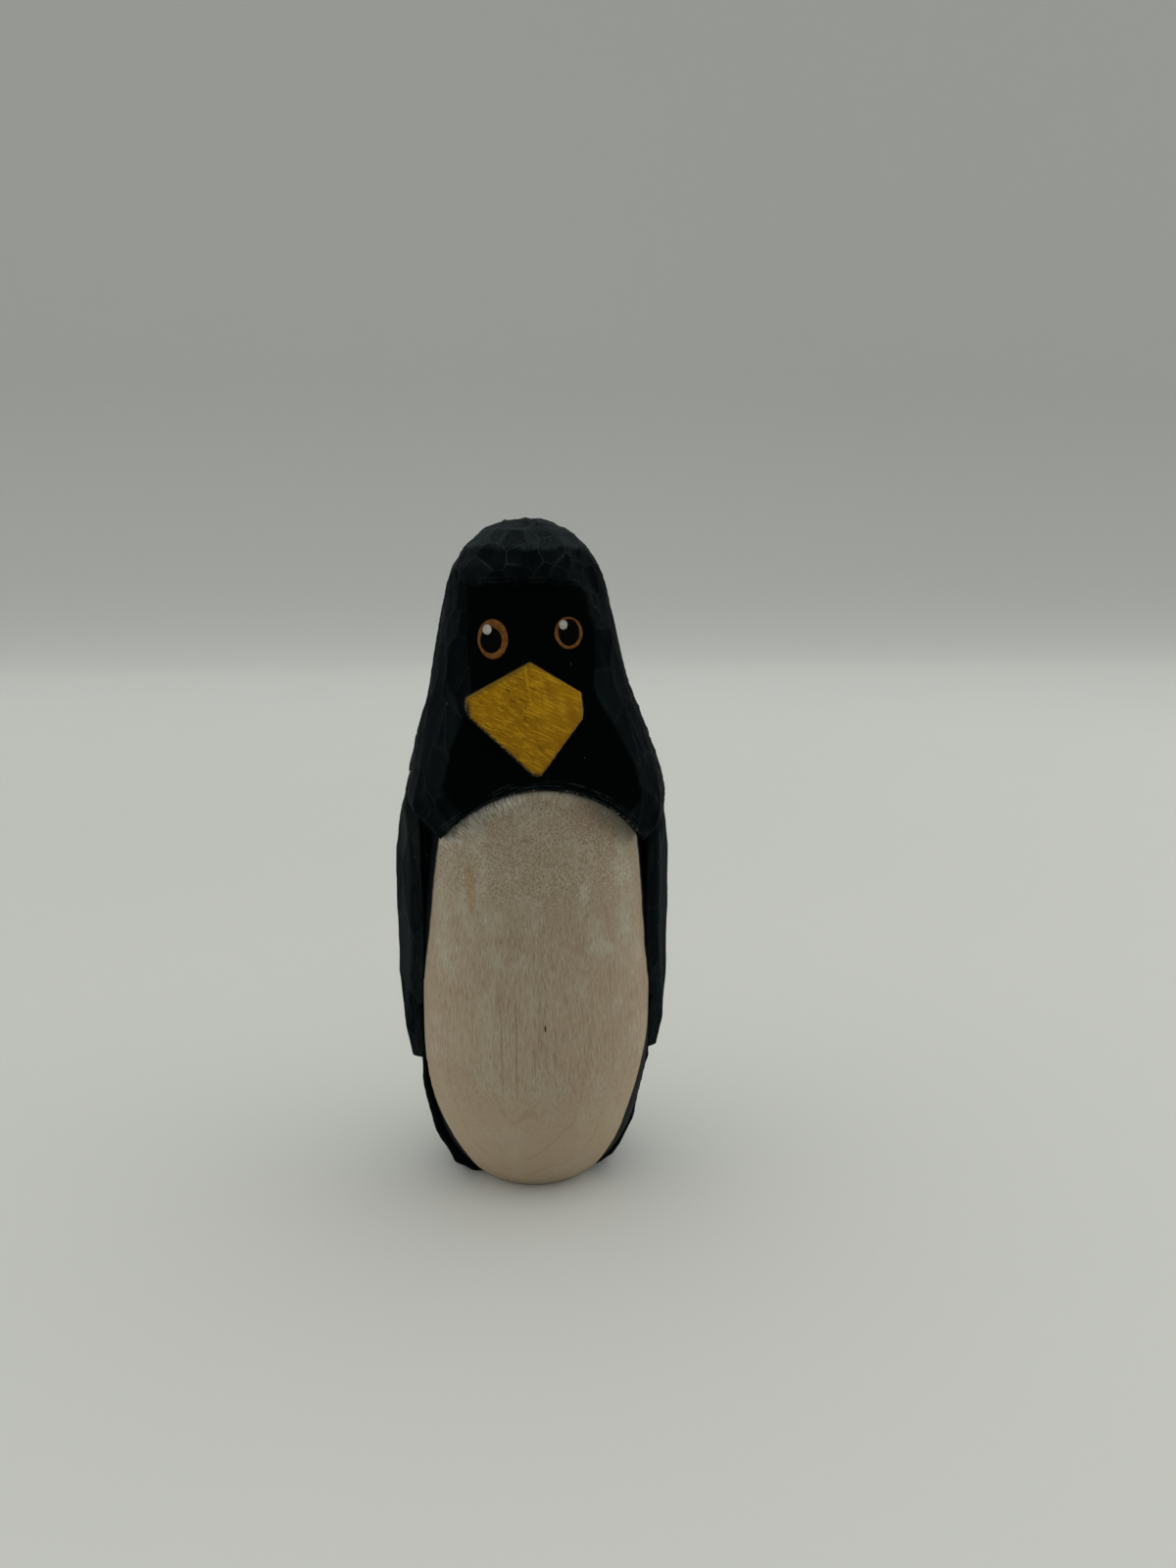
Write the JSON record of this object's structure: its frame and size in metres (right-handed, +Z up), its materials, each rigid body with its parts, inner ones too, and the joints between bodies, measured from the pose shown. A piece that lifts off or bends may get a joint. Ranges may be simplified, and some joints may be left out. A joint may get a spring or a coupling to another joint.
{
  "type": "penguin figurine",
  "caption": "Standing penguin figurine in knife-carved painted wood: black faceted hood and back, smooth pale belly, side flippers, ochre beak and painted eyes, flat base.",
  "frame": {"origin": "centre of the figure's bounding box, on the plane of its base", "axes": "+Z up, the penguin faces -Y, its own left side is at +X"},
  "size_m": [0.058, 0.054, 0.1399],
  "materials": {
    "black_stain": "matt black paint over knife-cut wood, worn on the ridges",
    "whitewash": "thin whitewash, wood grain showing",
    "beak_ochre": "matt yellow-ochre paint over knife-cut wood",
    "eye_ring": "orange-brown paint",
    "eye_black": "black paint",
    "eye_white": "white paint",
    "bare_wood": "bare birch dowel"
  },
  "bodies": {
    "root": {"body_block": "black_stain", "right_flipper": "black_stain", "left_flipper": "black_stain", "belly_panel": "whitewash", "beak": "beak_ochre", "right_eye_iris": "eye_ring", "left_eye_iris": "eye_ring", "right_eye_pupil": "eye_black", "left_eye_pupil": "eye_black", "right_eye_glint": "eye_white", "left_eye_glint": "eye_white", "right_flipper_dowels": "bare_wood", "left_flipper_dowels": "bare_wood", "beak_dowel": "bare_wood", "belly_dowels": "bare_wood"}
  },
  "joints": []
}
